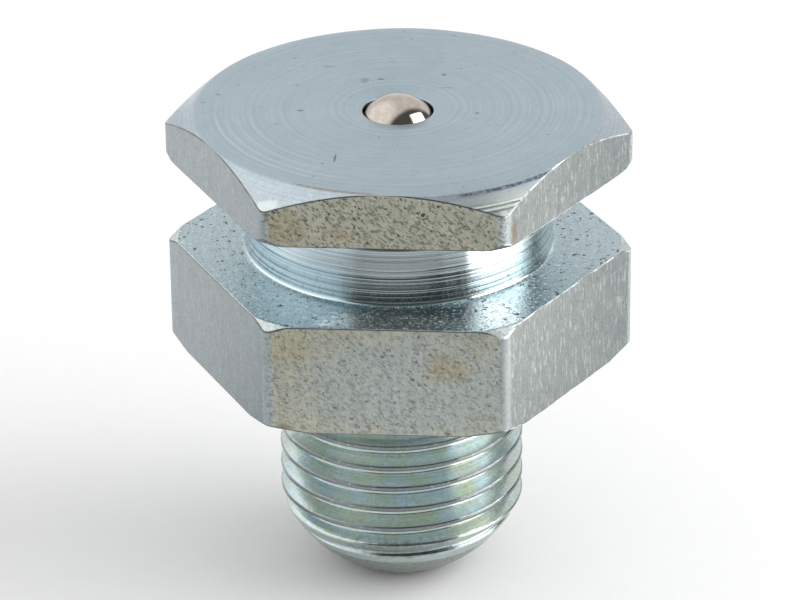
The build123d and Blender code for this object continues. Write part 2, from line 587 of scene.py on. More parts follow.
@dataclass(frozen=True)
class MetalFinish:
    """Bare or plated metal with tool marks, mottle, spots and local marks."""

    name: str                   # name of the material
    base: tuple                 # its main colour; all colours are in display values
    second: tuple               # colour that the mottle brings in
    roughness: float            # its middle roughness
    stretch: float              # how far gloss is drawn across the tool marks, 0 to 1
    lines: Lines                # its tool marks
    mottle: Mottle              # its mottle
    grain: Grain | None = None  # its grain, if it has any
    spots: tuple = ()           # its specks and pits, the lowest layer first
    gain: float = 1.0           # how many spots there are where no tone says otherwise
    tones_and_light: tuple = ()           # each side's plating tone with painted light and shade
    corner_tint: tuple = ()     # colour of the bar's rounded corners, if it is another
    fleck_tint: tuple = ()      # colour of the bright flecks along the bar, if it has any
    crest_tint: tuple = ()      # colour of the thread's crests, if it is another
    marks: tuple = ()           # local marks
    bands: tuple = ()           # marks along rings

    def material(self) -> bpy.types.Material:
        """Builds the node material of this finish, from its plain colour up to its marks.

        Returns:
            The material.
        """
        made = bpy.data.materials.new(self.name)
        at = Surface(made)
        lines = self.lines.noise(at)
        mottle = at.noise(at.point, self.mottle.per_mm, 4.0, 0.6)
        height = lines * (self.lines.bump * MM) + mottle * (self.mottle.bump * MM)
        rough = mottle * MOTTLE_MATT + (self.roughness - MOTTLE_MATT / 2)
        tint, gain, flecks = self._sides(at)
        second = at.ramp(mottle, *MOTTLE_ENDS, 0.0, self.mottle.share)
        tint = self._marked(at, at.mix(second, tint, colour(self.second)), True)
        if self.fleck_tint:
            drawn = at.noise(at.stretched(1.0, DRAWN_FLECKS), FLECKS_PER_MM, 2.0, 0.6)
            bright = at.ramp(drawn, *FLECK_ENDS) * flecks
            tint = at.mix(bright, tint, colour(self.fleck_tint))
        if self.corner_tint:
            corner = at.ramp(at.radius, *CORNER_BEGINS)
            tint = at.mix(corner * CORNER_SHARE, tint, colour(self.corner_tint))
            rough = corner * CORNER_MATT + rough
        tint = at.mix(1.0, tint, at.grey(self._shade(at, lines)), "MULTIPLY")
        if self.grain and self.grain.bump:
            fine = at.noise(at.point, self.grain.per_mm * BUMP_FINENESS, 1.0, 0.5)
            height = height + fine * (self.grain.bump * MM)
        for spots in self.spots:
            cover = spots.cover(at) * gain
            tint = at.mix(cover, tint, colour(spots.tint))
            rough = cover * spots.matt + rough
            height = height - cover * (spots.depth * MM)
        if self.crest_tint:
            sparkle = at.noise(at.point, SPARKLES_PER_MM, 3.0, 0.7)
            crest = at.ramp(at.radius, *CREST_BEGINS) * at.ramp(sparkle, *SPARKLE_ENDS, 1.0, 0.4)
            tint = at.mix(crest, tint, colour(self.crest_tint))
        self._metal(at, self._marked(at, tint, False), rough, height)
        return made

    def _sides(self, at: Surface) -> tuple:
        """Looks that depend on the point's side of the bar, painted light and shade among them.

        Args:
            at: the surface and its point.

        Returns:
            Its colour, how many spots it has, and the strength of its flecks.
        """
        tint, gain, flecks = colour(self.base), self.gain, 0.0
        for tone in self.tones_and_light:
            side = at.ramp(at.towards(tone.azimuth), *SIDE_BEGINS)
            tint = at.mix(side * tone.share, tint, colour(tone.tint))
            gain = side * (tone.specks - self.gain) + gain
            fewer = at.ramp(at.height, *NECK_BEGINS, 1.0 - tone.low_specks, 0.0)
            gain = gain * (1.0 - side * fewer)
            flecks = side * tone.flecks + flecks
        return tint, gain, flecks

    def _marked(self, at: Surface, tint: Wire, under: bool) -> Wire:
        """Lays one layer of bands and marks over a colour.

        Args:
            at: the surface and its point.
            tint: the colour so far.
            under: the layer under the tool marks and spots is meant, not the one over them.

        Returns:
            The colour with them.
        """
        for mark in (*self.bands, *self.marks):
            if mark.under is under:
                tint = at.mix(mark.cover(at), tint, colour(mark.tint))
        return tint

    def _shade(self, at: Surface, lines: Wire) -> Wire:
        """How much the tool marks, the grain and the painted shade in the grooves darken or lighten
        the colour.

        Args:
            at: the surface and its point.
            lines: noise that draws the tool marks.

        Returns:
            A factor for the colour.
        """
        half, tint = SOFT_LINE * (1.0 - self.lines.edge) + SHARP_LINE, self.lines.tint
        shade = at.ramp(lines, 0.5 - half, 0.5 + half, 1.0 - tint, 1.0 + tint)
        if self.grain:
            grain, tint = at.noise(at.point, self.grain.per_mm, 2.0, 0.7), self.grain.tint
            shade = shade * at.ramp(grain, *GRAIN_ENDS, 1.0 - tint, 1.0 + tint)
        # painted shade in the deepest grooves
        if self.lines.groove_shade:
            shade = shade * at.ramp(lines, *GROOVE_ENDS, 1.0 - self.lines.groove_shade, 1.0)
        return shade

    def _metal(self, at: Surface, tint: Wire, rough: Wire, height: Wire) -> None:
        """Ends the material in metal.

        Args:
            at: the surface and its point.
            tint: its colour.
            rough: its roughness.
            height: its height in metres.
        """
        bump = at.node("ShaderNodeBump", {"Strength": 1.0, "Distance": 1.0, "Height": height})
        inputs = {"Base Color": tint, "Roughness": rough, "Metallic": 1.0, "Normal": bump}
        if self.stretch:
            tangent = at.node("ShaderNodeTangent", {}, direction_type="RADIAL", axis="Z")
            turn = 0.0 if self.lines.lay is Lay.DRAWN else 0.25
            inputs |= {"Tangent": tangent, "Anisotropic": self.stretch,
                       "Anisotropic Rotation": turn}
        at.end("ShaderNodeOutputMaterial", at.node("ShaderNodeBsdfPrincipled", inputs))


# ---------------------------------------------------------------- pieces


@dataclass(frozen=True)
class Bar:
    """Drawn hexagon bar with rounded corners."""

    flat_radius: float = 7.9375
    corner_rounding: float = 0.4
    flat_columns: int = 34
    corner_columns: int = 6

    @property
    def corner_distance(self) -> float:
        """Distance from the axis to the centre of a corner's rounding."""
        return (self.flat_radius - self.corner_rounding) / math.cos(math.radians(30.0))

    def angles(self) -> np.ndarray:
        """Angles of the columns in radians, once round, ending where they began.

        Each of the six flats takes evenly spaced columns up to where its corner's rounding
        starts, and the rounding takes its own columns.

        Returns:
            The angles.
        """
        edge = math.atan2(self.corner_distance * math.sin(math.radians(30.0)), self.flat_radius)
        flat = np.linspace(-edge, edge, self.flat_columns + 1)[:-1]
        corner = np.linspace(edge, math.radians(60.0) - edge, self.corner_columns + 1)[:-1]
        sector = np.concatenate([flat, corner])
        middles = np.radians(-90.0 + 60.0 * np.arange(6))
        turn = (middles[:, None] + sector[None, :]).reshape(-1)
        return np.append(turn, turn[0] + TAU)

    def radius(self, angles: np.ndarray) -> np.ndarray:
        """Distance from the axis to the bar's surface.

        On a flat it is the flat's distance over the cosine of the angle from its middle. At a
        corner it is the far crossing of the ray with the rounding's circle.

        Args:
            angles: directions in radians.

        Returns:
            The distances in millimetres, one for each direction.
        """
        off = np.abs((np.degrees(angles) + 120.0) % 60.0 - 30.0)
        edge = math.degrees(math.atan2(self.corner_distance * 0.5, self.flat_radius))
        flat = self.flat_radius / np.cos(np.radians(off))
        tilt = np.radians(30.0 - off)
        far = self.corner_distance
        inside = np.maximum(self.corner_rounding ** 2 - (far * np.sin(tilt)) ** 2, 0.0)
        return np.where(off <= edge + 1e-6, flat, far * np.cos(tilt) + np.sqrt(inside))


@dataclass(frozen=True)
class Thread:
    """Parallel pipe thread, right-hand, cut into the shank with a rounded nose.

    A row of points follows the helix: its height is its own offset plus the pitch times the
    share of a turn. The radius there is the smaller of the thread form's and the blank's.
    """

    major_radius: float = 4.864
    minor_radius: float = 4.283
    pitch: float = 25.4 / 28.0
    crest_height: float = 7.276
    crest_half: float = 0.075
    crest_lip: float = 0.016
    root_half: float = 0.076
    root_dip: float = 0.012
    blank_top: float = 7.759
    relief_radius: float = 4.223
    bottom: float = 1.7
    top: float = 8.42
    nose_length: float = 3.05
    nose_bulge: float = 6.0
    tip_radius: float = 1.9
    raggedness: float = 0.012
    ragged_rates: tuple = (9.0, 17.0, 31.0, 53.0)
    seed: int = 7
    crest_row: float = 0.045
    root_row: float = 0.04
    flank_inset: float = 0.03
    flank_rows: int = 4

    def offsets(self) -> np.ndarray:
        """Heights of one pitch's rows from a crest's middle, in rising order.

        On either side of it a row lies in the crest and one at its edge, some on the flank,
        and one at the root's edge and one in the root.

        Returns:
            The heights in millimetres.
        """
        root = self.pitch / 2 - self.root_half
        flank = np.linspace(self.crest_half + self.flank_inset, root - self.flank_inset,
                            self.flank_rows)
        half = np.concatenate([[self.crest_row, self.crest_half], flank,
                               [root, self.pitch / 2 - self.root_row]])
        return np.concatenate([[-self.pitch / 2], -half[::-1], [0.0], half])

    def nose_radius(self, height: np.ndarray) -> np.ndarray:
        """Radius of the nose: a circle of the bulge's radius through the tip and the shank.

        Args:
            height: heights above the tip.

        Returns:
            The radii there.
        """
        across = self.major_radius - self.tip_radius
        chord = math.hypot(across, self.nose_length)
        depth = math.sqrt(self.nose_bulge ** 2 - chord ** 2 / 4.0)
        centre_r = (self.major_radius + self.tip_radius) / 2 - depth * self.nose_length / chord
        centre_z = self.nose_length / 2 + depth * across / chord
        return centre_r + np.sqrt(self.nose_bulge ** 2 - (height - centre_z) ** 2)

    def blank_radius(self, height: np.ndarray) -> np.ndarray:
        """Radius of the blank: nose, plain shank, and the cone down to the relief.

        Args:
            height: heights above the tip.

        Returns:
            The radii there.
        """
        on_nose = height < self.nose_length
        nose = np.where(on_nose, self.nose_radius(height), self.major_radius)
        cone = self.major_radius - (height - self.blank_top)
        least = np.where(height > self.nose_length, self.relief_radius, 0.0)
        return np.maximum(np.minimum(nose, cone), least)

    def form_radius(self, offset: np.ndarray, crest: np.ndarray) -> np.ndarray:
        """Radius of the thread form at a distance from the crest's middle.

        It is the crest's radius in the middle of the crest, falls a little to the crest's
        edge, falls evenly to the root's along the flank, and has a shallow round in the root.

        Args:
            offset: distance along the axis from the nearest crest's middle.
            crest: radius of the crest there.

        Returns:
            The radii.
        """
        away = np.abs(offset)
        run = self.pitch / 2 - self.root_half - self.crest_half
        share = np.clip((away - self.crest_half) / run, 0.0, 1.0)
        dip = np.clip((away - self.pitch / 2 + self.root_half) / self.root_half, 0, 1)
        root = self.minor_radius - self.root_dip * dip
        lip = self.crest_lip * np.clip(1.0 - away / self.crest_half, 0.0, 1.0)
        fall = np.where(share == 0.0, lip - self.crest_lip, -self.crest_lip * (1 - share))
        return crest + (root - crest) * share + fall

    def rows(self, angles: np.ndarray) -> tuple:
        """Radii and heights of the thread's rows, and the zone of each gap between rows.

        The crest looks a little torn: its radius is lowered by the raggedness times a sum of
        waves along the helix, which lies about one half and is held between 0 and 1.

        Args:
            angles: column angles, once round, ending where they began.

        Returns:
            Radii (rows, columns), heights (rows, columns) and zones.
        """
        count = int(math.ceil((self.top - self.bottom) / self.pitch)) + 2
        first = math.floor((self.bottom - self.crest_height) / self.pitch) - 1
        offsets = self.offsets()
        levels = (first + np.arange(count + 1)) * self.pitch
        base = (levels[:, None] + offsets[None, :]).reshape(-1)
        near = np.tile(offsets, count + 1)
        share = (angles + math.pi / 2) / TAU
        height = self.crest_height + base[:, None] + self.pitch * share[None, :]
        height = np.clip(height, self.bottom, self.top)
        chance = np.random.default_rng(self.seed)
        waves = np.zeros_like(height)
        turns = (base[:, None] / self.pitch).round() + share[None, :]
        for rate in self.ragged_rates:
            waves += np.sin(TAU * (turns * rate + chance.random())) * chance.uniform(0.5, 1.0)
        crest = self.major_radius - self.raggedness * np.clip(0.5 + 0.3 * waves, 0.0, 1.0)
        form = self.form_radius(np.broadcast_to(near[:, None], height.shape), crest)
        radius = np.minimum(form, self.blank_radius(height))
        return radius, height, [Zone.THREAD] * (len(base) - 1)


@dataclass
class NippleBody:
    """The turned body: button head, neck, hexagon, threaded shank and its bores."""

    bar: Bar = field(default_factory=Bar)
    thread: Thread = field(default_factory=Thread)
    seat_height: float = 9.5
    shoulder_height: float = 14.05
    underside_height: float = 17.4
    face_height: float = 19.7
    face_radius: float = 7.93
    face_slope: float = 34.0
    rim_radius: float = 7.5
    rim_fall: float = 0.06
    underside_radius: float = 8.8454
    underside_slope: float = 45.0
    shoulder_radius: float = 8.7154
    shoulder_slope: float = 32.0
    seat_radius: float = 8.4454
    seat_slope: float = 22.0
    seat_inner: float = 4.884
    neck_radius: float = 6.03
    neck_fillet: float = 0.45
    foot_fillet: float = 0.25
    stake_radius: float = 2.0975
    inlet_radius: float = 1.3791
    lip_height: float = 19.58
    seat_top: float = 19.43
    seat_foot: float = 18.8452
    chamber_radius: float = 1.7375
    floor_height: float = 13.3769
    passage_radius: float = 1.0
    mouth_chamfer: float = 0.15
    tip_rise: float = 0.5
    nose_rows: int = 14
    edge: float = 0.07

    def corners(self, bar_radius: np.ndarray) -> list:
        """Corners of the outline from the relief over the head and down the bores to the tip.

        Where a cone would end outside the bar, its two corners lie a small edge apart on the
        bar's surface instead, which rounds that edge.

        Args:
            bar_radius: distance to the bar's surface, one for each column.

        Returns:
            The corners in order.
        """
        def fall(radius: float, slope: float) -> np.ndarray:
            """How far a cone from that radius falls before it leaves the bar."""
            return np.maximum((bar_radius - radius) * math.tan(math.radians(slope)), self.edge / 2)

        def rim(radius: float) -> np.ndarray:
            """The flat's edge radius: the cone's own, or just inside the bar."""
            return np.minimum(radius, bar_radius - self.edge / 2)

        t, bar, neck = self.thread, bar_radius, self.neck_radius
        seat, shoulder, under = self.seat_height, self.shoulder_height, self.underside_height
        face_edge = self.face_height - self.rim_fall
        relief_top = seat - (self.seat_inner - t.relief_radius)
        bar_foot = seat + fall(self.seat_radius, self.seat_slope)
        bar_top = shoulder - fall(self.shoulder_radius, self.shoulder_slope)
        head_foot = under + fall(self.underside_radius, self.underside_slope)
        slope = math.tan(math.radians(self.face_slope))
        head_top = face_edge - np.maximum((bar - self.face_radius) * slope, 0.005)
        return [
            Corner(t.relief_radius, t.top, 0.0, Zone.THREAD, 3),
            Corner(t.relief_radius, relief_top, 0.2, Zone.THREAD, 4),
            Corner(self.seat_inner, seat, 0.03, Zone.SEAT, 8),
            Corner(rim(self.seat_radius), seat, 0.05, Zone.SEAT, 4),
            Corner(bar, bar_foot, 0.06, Zone.FLAT, 8, worn_and_lit=True),
            Corner(bar, bar_top, 0.05, Zone.BEVEL, 4, worn_and_lit=True),
            Corner(rim(self.shoulder_radius), shoulder, 0.05, Zone.SHOULDER, 8),
            Corner(neck, shoulder, self.foot_fillet, Zone.NECK, 10, 10),
            Corner(neck, under, self.neck_fillet, Zone.NECK, 6, 10),
            Corner(rim(self.underside_radius), under, 0.05, Zone.NECK, 4),
            Corner(bar, head_foot, 0.06, Zone.FLAT, 6, worn_and_lit=True),
            Corner(bar, head_top, 0.035, Zone.CHAMFER, 6, worn_and_lit=True),
            Corner(self.face_radius, face_edge, 0.12, Zone.FACE, 3),
            Corner(self.rim_radius, self.face_height, 0.15, Zone.FACE, 14),
            Corner(self.stake_radius, self.face_height, 0.08, Zone.FACE, 5),
            Corner(self.inlet_radius, self.lip_height, 0.05, Zone.BORE, 3),
            Corner(self.inlet_radius, self.seat_top, 0.03, Zone.BORE, 5),
            Corner(self.chamber_radius, self.seat_foot, 0.05, Zone.BORE, 4),
            Corner(self.chamber_radius, self.floor_height, 0.1, Zone.BORE, 3),
            Corner(self.passage_radius, self.floor_height, 0.04, Zone.BORE, 4),
            Corner(self.passage_radius, self.mouth_chamfer, 0.04, Zone.BORE, 3),
            Corner(self.passage_radius + self.mouth_chamfer, 0.0, 0.04, Zone.NOSE, 4),
            Corner(t.tip_radius, 0.0, 0.36, Zone.NOSE, 2, 8),
            Corner(float(t.nose_radius(np.array(self.tip_rise))), self.tip_rise, 0.0, Zone.NOSE, 2),
        ]

    def build(self, materials: list) -> bpy.types.Object:
        """Builds the closed body and puts it in place of its solid.

        The surface is one ring-shaped grid: up the thread, over the hexagon, neck and head,
        down the bores, across the tip and up the nose to where the thread begins.

        Args:
            materials: one material for each zone.

        Returns:
            The finished piece.
        """
        angles = self.bar.angles()
        columns = len(angles)
        reach = self.bar.radius(angles)
        reach[-1] = reach[0]
        outer_r, outer_z, outer_zones = rounded_outline(self.corners(reach), columns)
        rise = self.tip_rise + (self.thread.bottom - self.tip_rise) * eased(self.nose_rows)[1:]
        nose_z = np.broadcast_to(rise[:, None], (len(rise), columns))
        nose_r = self.thread.nose_radius(nose_z)
        blocks = [
            self.thread.rows(angles),
            (np.concatenate([outer_r, nose_r]), np.concatenate([outer_z, nose_z]),
             outer_zones + [Zone.NOSE] * len(rise)),
        ]
        cosine, sine = np.cos(angles), np.sin(angles)
        cosine[-1], sine[-1] = cosine[0], sine[0]
        points, quads, zones, offset = [], [], [], 0
        for radius, height, names in blocks:
            ring = np.stack([radius * cosine, radius * sine, height], axis=-1)
            points.append(ring.reshape(-1, 3))
            quads.append(grid_quads(len(radius), columns, offset))
            zones.append(np.repeat(np.array(names, int), columns - 1))
            offset += radius.size
        piece = make_piece("nipple_body_turned", np.concatenate(points), np.concatenate(quads),
                           np.concatenate(zones), materials)
        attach(piece, "nipple")
        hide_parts("nipple_body")
        return piece


@dataclass
class CheckBall:
    """Polished ball that closes the inlet."""

    radius: float = 1.5875
    height: float = 18.5849
    rows: int = 72
    columns: int = 144

    def build(self, material: bpy.types.Material) -> bpy.types.Object:
        """Builds the sphere from latitude and longitude and puts it in place of its solid.

        Args:
            material: the ball's finish.

        Returns:
            The finished piece.
        """
        rise = np.linspace(-math.pi / 2, math.pi / 2, self.rows + 1)[:, None]
        turn = np.append(np.linspace(0.0, TAU, self.columns + 1)[:-1], 0.0)[None, :]
        flat = self.radius * np.where(np.abs(rise) > math.pi / 2 - 1e-9, 0.0, np.cos(rise))
        points = np.stack(np.broadcast_arrays(flat * np.cos(turn), flat * np.sin(turn),
                                              self.height + self.radius * np.sin(rise)), axis=-1)
        quads = grid_quads(self.rows + 1, self.columns + 1)
        piece = make_piece("check_ball_polished", points.reshape(-1, 3), quads,
                           np.zeros(len(quads), int), [material])
        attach(piece, "ball")
        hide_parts("check_ball")
        return piece


@dataclass
class ValveSpring:
    """Compression spring with closed ends under the ball."""

    wire_radius: float = 0.15
    coil_radius: float = 1.2475
    foot_height: float = 13.5469
    top_height: float = 17.3469
    closed_pitch: float = 0.32
    end_turns: int = 1
    working_turns: int = 3
    travel: float = 1.5
    steps_per_turn: int = 48
    sides: int = 14

    def build(self, material: bpy.types.Material) -> bpy.types.Object:
        """Carries a circle along a helix that is closed up at both ends.

        The height along the wire is piecewise straight in the angle. The circle lies in the
        plane of the outward and upward directions that stand square to the wire.

        Args:
            material: the wire's finish.

        Returns:
            The finished piece.
        """
        turns = self.working_turns + 2 * self.end_turns
        place = np.linspace(0.0, turns, turns * self.steps_per_turn + 1)
        foot, top, closed = self.foot_height, self.top_height, self.closed_pitch * self.end_turns
        marks = [0.0, self.end_turns, turns - self.end_turns, turns]
        height = np.interp(place, marks, [foot, foot + closed, top - closed, top])
        turn = place * TAU
        cosine, sine = np.cos(turn), np.sin(turn)
        slope = np.arctan(np.gradient(height, place) / (TAU * self.coil_radius))
        outward = np.stack([cosine, sine, np.zeros_like(turn)], axis=-1)
        tilt = np.sin(slope)
        upward = np.stack([sine * tilt, -cosine * tilt, np.cos(slope)], axis=-1)
        line = np.stack([self.coil_radius * cosine, self.coil_radius * sine, height], axis=-1)
        around = np.append(np.linspace(0.0, TAU, self.sides + 1)[:-1], 0.0)[None, :, None]
        ring = np.cos(around) * outward[:, None, :] + np.sin(around) * upward[:, None, :]
        size = np.full(len(place) + 2, self.wire_radius)
        size[0] = size[-1] = 0.0
        pick = np.concatenate([[0], np.arange(len(place)), [len(place) - 1]])
        points = line[pick][:, None, :] + size[:, None, None] * ring[pick]
        quads = grid_quads(len(pick), self.sides + 1)[:, ::-1]
        piece = make_piece("valve_spring_wound", points.reshape(-1, 3), quads,
                           np.zeros(len(quads), int), [material])
        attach(piece, "nipple")
        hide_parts("valve_spring")
        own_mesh(piece)
        return piece


# ---------------------------------------------------------------- studio


def direction(azimuth: float, elevation: float = 0.0) -> Vector:
    """Unit vector towards an azimuth in degrees from -Y towards +X, and an elevation."""
    a, e = math.radians(azimuth), math.radians(elevation)
    return Vector((math.sin(a) * math.cos(e), -math.cos(a) * math.cos(e), math.sin(e)))


@dataclass(frozen=True)
class Softbox:
    """A rectangular lamp that faces the object."""

    name: str                  # name of the lamp
    azimuth: float             # direction from the object, in degrees from -Y towards +X
    elevation: float           # its height angle in degrees
    distance: float            # metres from the object
    width: float               # metres
    height: float              # metres
    radiance: float            # brightness of its face, where 1 is white
    roll: float = 0.0          # degrees that it is turned in its own plane
    aim_height: float = 0.012  # metres above the floor of the point that it is aimed at

    def build(self) -> None:
        """Adds the lamp, turned towards the object."""
        data = bpy.data.lights.new(self.name, "AREA")
        data.shape = "RECTANGLE"
        data.size, data.size_y = self.width, self.height
        data.energy = self.radiance * math.pi * self.width * self.height
        lamp = bpy.data.objects.new(self.name, data)
        way = direction(self.azimuth, self.elevation)
        spot = Matrix.Translation(way * self.distance + Vector((0, 0, self.aim_height)))
        aim = way.to_track_quat("Z", "Y").to_matrix().to_4x4()
        lamp.matrix_world = spot @ aim @ Matrix.Rotation(math.radians(self.roll), 4, "Z")
        bpy.context.scene.collection.objects.link(lamp)


@dataclass(frozen=True)
class Shade:
    """A darker or brighter part of the room, seen only in reflections."""

    azimuth: float    # its middle, in degrees from -Y towards +X
    elevation: float  # height angle of its middle
    inner: float      # angle from its middle within which it is full, in degrees
    outer: float      # angle at which it has faded out
    depth: float      # share of the light that it takes away; a brighter part has a negative one


@dataclass(frozen=True)
class Card:
    """A bright or dim side of the floor, seen only in reflections."""

    azimuth: float       # its middle, in degrees from -Y towards +X
    half_width: float    # degrees on either side that have it in full
    fade: float          # degrees over which it fades out
    # strength of its light, or share of the paper's light that a dim side takes away
    glow: float
    start: float = 10.0  # distance from the axis in millimetres where it begins
    end: float = 900.0   # distance in millimetres where it ends


@dataclass(frozen=True)
class Studio:
    """White room with a darker front, a pale floor with bright and dim sides, and a lamp."""

    floor_size: float = 4.0     # metres along one side of the floor
    # the two whites of its paper
    floor_colours: tuple = ((0.92, 0.92, 0.92, 1.0), (0.9, 0.9, 0.9, 1.0))
    floor_grain: float = 900.0  # fineness of its paper
    fill: float = 0.86          # strength of the room's light where it isn't seen in a reflection
    card_edge: float = 3.0      # millimetres over which a card begins and ends
    card_colour: tuple = (1.0, 0.85, 0.8, 1.0)  # colour of the bright sides
    # the floor's bright sides
    cards: tuple = (
        Card(76.0, 20.0, 5.0, 3.3, start=26.0),
        Card(70.0, 13.0, 11.0, 1.2, end=26.0),
        Card(-152.0, 40.0, 8.0, 0.45),
        Card(-41.0, 12.0, 16.0, 0.25, start=8.0, end=20.0),
    )
    dims: tuple = (Card(-8.0, 24.0, 56.0, 0.58, start=32.0, end=46.0),)  # the floor's dim sides
    # the lamps
    softboxes: tuple = (Softbox("softbox_right", 88.0, 31.0, 0.46, 0.34, 0.4, 3.4, -35.0),)
    # the room's darker and brighter parts
    shades: tuple = (Shade(50.0, -8.0, 82.0, 95.0, 0.88), Shade(-99.0, 42.0, 25.0, 50.0, -0.45))

    def build(self) -> None:
        """Adds the floor, the world and the lamps."""
        self._floor()
        self._world()
        for softbox in self.softboxes:
            softbox.build()

    def _floor(self) -> None:
        """A wide plane under the object whose pale paper keeps the shadow."""
        half = self.floor_size / 2
        rim = [(-half, -half, 0), (half, -half, 0), (half, half, 0), (-half, half, 0)]
        mesh = bpy.data.meshes.new("studio_floor")
        mesh.from_pydata(rim, [], [(0, 1, 2, 3)])
        material = bpy.data.materials.new("floor_paper")
        graph = Graph(material)
        place = graph.node("ShaderNodeTexCoord", {}, "Object")
        paper = graph.mix(graph.noise(place, self.floor_grain, 3.0), *self.floor_colours)
        paper = graph.mix(self._lit_sides(graph, place, self.dims), paper, (0.0, 0.0, 0.0, 1.0))
        shader = graph.node("ShaderNodeBsdfPrincipled", {
            "Base Color": paper, "Roughness": 0.9, "Specular IOR Level": 0.0})
        card = graph.node("ShaderNodeEmission", {
            "Color": self.card_colour, "Strength": self._lit_sides(graph, place, self.cards)})
        both = graph.node("ShaderNodeAddShader", {0: shader, 1: card})
        graph.end("ShaderNodeOutputMaterial", both)
        mesh.materials.append(material)
        floor = bpy.data.objects.new("studio_floor", mesh)
        bpy.context.scene.collection.objects.link(floor)

    def _lit_sides(self, graph: Graph, place: Wire, cards: tuple) -> Wire:
        """Sum of some of the floor's sides, which only glossy reflections show.

        Each is full within its half width on either side of its direction, fades out over
        its last degrees, and begins and ends at its distances from the axis.

        Args:
            graph: the floor's nodes.
            place: the point on the floor in metres.
            cards: the sides.

        Returns:
            Their summed glow.
        """
        reach = graph.vector("LENGTH", place, output=1)
        flat = graph.vector("NORMALIZE", graph.vector("MULTIPLY", place, (1.0, 1.0, 0.0)))
        total = 0.0
        for card in cards:
            along = graph.vector("DOT_PRODUCT", flat, tuple(direction(card.azimuth)), output=1)
            half, fade = math.radians(card.half_width), math.radians(card.fade)
            side = graph.ramp(along, math.cos(half + fade), math.cos(half), 0.0, card.glow)
            begun = graph.ramp(reach, card.start * MM, (card.start + self.card_edge) * MM)
            left = graph.ramp(reach, card.end * MM, (card.end + self.card_edge) * MM, 1.0, 0.0)
            total = side * (begun * left) + total
        return total * graph.ray("Is Glossy Ray")

    def _world(self) -> None:
        """White for the camera; for the object a soft room with darker parts."""
        world = bpy.data.worlds.new("studio_room")
        bpy.context.scene.world = world
        graph = Graph(world)
        way = graph.vector("NORMALIZE", graph.node("ShaderNodeTexCoord", {}, "Generated"))
        level = 1.0
        for shade in self.shades:
            middle = tuple(direction(shade.azimuth, shade.elevation))
            along = graph.vector("DOT_PRODUCT", way, middle, output=1)
            ends = math.cos(math.radians(shade.outer)), math.cos(math.radians(shade.inner))
            level = graph.ramp(along, *ends, 1.0, 1.0 - shade.depth) * level
        seen = graph.math("MAXIMUM", graph.ray("Is Glossy Ray"), graph.ray("Is Transmission Ray"))
        white = {"Color": (1.0, 1.0, 1.0, 1.0), "Strength": 1.0}
        room = white | {"Strength": level * seen + (1.0 - seen) * self.fill}
        soft, plain = (graph.node("ShaderNodeBackground", inputs) for inputs in (room, white))
        pick = graph.node("ShaderNodeMixShader", {0: graph.ray("Is Camera Ray"), 1: soft, 2: plain})
        graph.end("ShaderNodeOutputWorld", pick)


@dataclass(frozen=True)
class Viewpoint:
    """The photograph's camera."""

    place: tuple = (12.157, -161.836, 92.406)  # where it stands, in millimetres
    target: tuple = (0.0, 0.0, 11.345)  # what it is aimed at, in millimetres
    roll: float = 0.01087               # radians that it is turned about its own line of sight
    lens: float = 206.26                # focal length in millimetres
    sensor: float = 36.0                # width of its picture in millimetres
    clip_start: float = 0.01            # nearest distance that it shows, in metres

    def build(self) -> None:
        """Adds the camera, aimed and rolled, and makes it the scene's own."""
        place, target = Vector(self.place) * MM, Vector(self.target) * MM
        ahead = (target - place).normalized()
        right = ahead.cross(Vector((0, 0, 1))).normalized()
        up = right.cross(ahead)
        turned_right = right * math.cos(self.roll) - up * math.sin(self.roll)
        turned_up = up * math.cos(self.roll) + right * math.sin(self.roll)
        turn = Matrix((turned_right, turned_up, -ahead)).transposed()
        data = bpy.data.cameras.new("photo_camera")
        data.lens, data.sensor_width = self.lens, self.sensor
        data.clip_start = self.clip_start
        camera = bpy.data.objects.new("photo_camera", data)
        camera.matrix_world = Matrix.Translation(place) @ turn.to_4x4()
        bpy.context.scene.collection.objects.link(camera)
        bpy.context.scene.camera = camera


# ---------------------------------------------------------------- finishes

FRONT_Y = -7.95                # just outside the flats towards -Y


def on_face(*rows: tuple) -> tuple:
    """Marks on the head's face, from rows of x, y, their half extents, tint and strength."""
    return tuple(Mark((x, y, NippleBody.face_height), (wide, long, 0.5), tint, strength)
                 for x, y, wide, long, tint, strength in rows)


def on_front(*rows: tuple) -> tuple:
    """Stains on the flats towards -Y, under their specks, from rows of x, z, and the same."""
    return tuple(Mark((x, FRONT_Y, z), (wide, 0.3, high), tint, strength, True)
                 for x, z, wide, high, tint, strength in rows)


